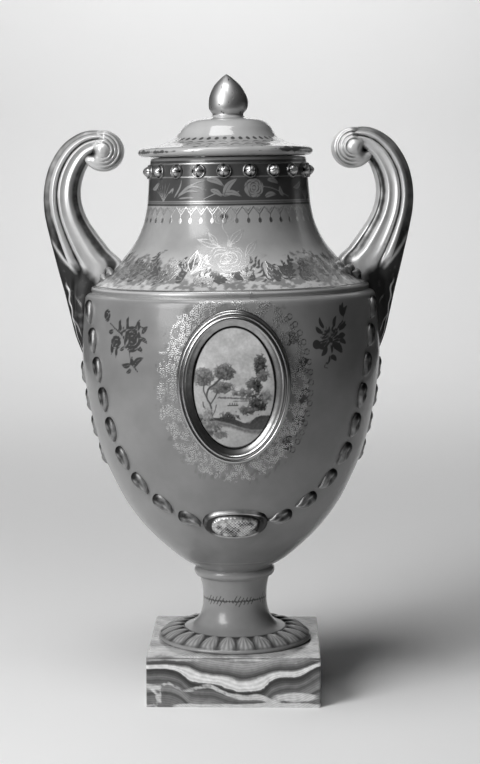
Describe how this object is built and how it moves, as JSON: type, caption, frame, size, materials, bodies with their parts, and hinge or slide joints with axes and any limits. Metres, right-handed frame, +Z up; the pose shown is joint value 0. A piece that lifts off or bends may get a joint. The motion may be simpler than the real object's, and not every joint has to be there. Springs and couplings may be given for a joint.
{
  "type": "covered mantel urn",
  "caption": "Covered porcelain vase-shaped urn with scrolled handles, studded neck, husk swags, an oval framed picture and a square marbled plinth.",
  "frame": {"origin": "on the table, under the middle of the whole object's box; the plinth's middle lies 4.4 mm to +X of it, because the urn leans to -X", "axes": "+Z up, handles along X, main medallion towards -Y"},
  "size_m": [0.2626, 0.217, 0.441],
  "materials": {
    "agate_glaze": "glossy glaze painted with swirled agate veins, light over dark",
    "painted_porcelain": "glossy glazed porcelain with a soft mid ground, gilt borders, painted flowers and an oval landscape",
    "gilded_lid_glaze": "glossy glaze with gilt lines round the dome and worn gilding on the brim and finial"
  },
  "bodies": {
    "root": {"plinth": "agate_glaze", "urn": "painted_porcelain", "lid": "gilded_lid_glaze"}
  },
  "joints": []
}
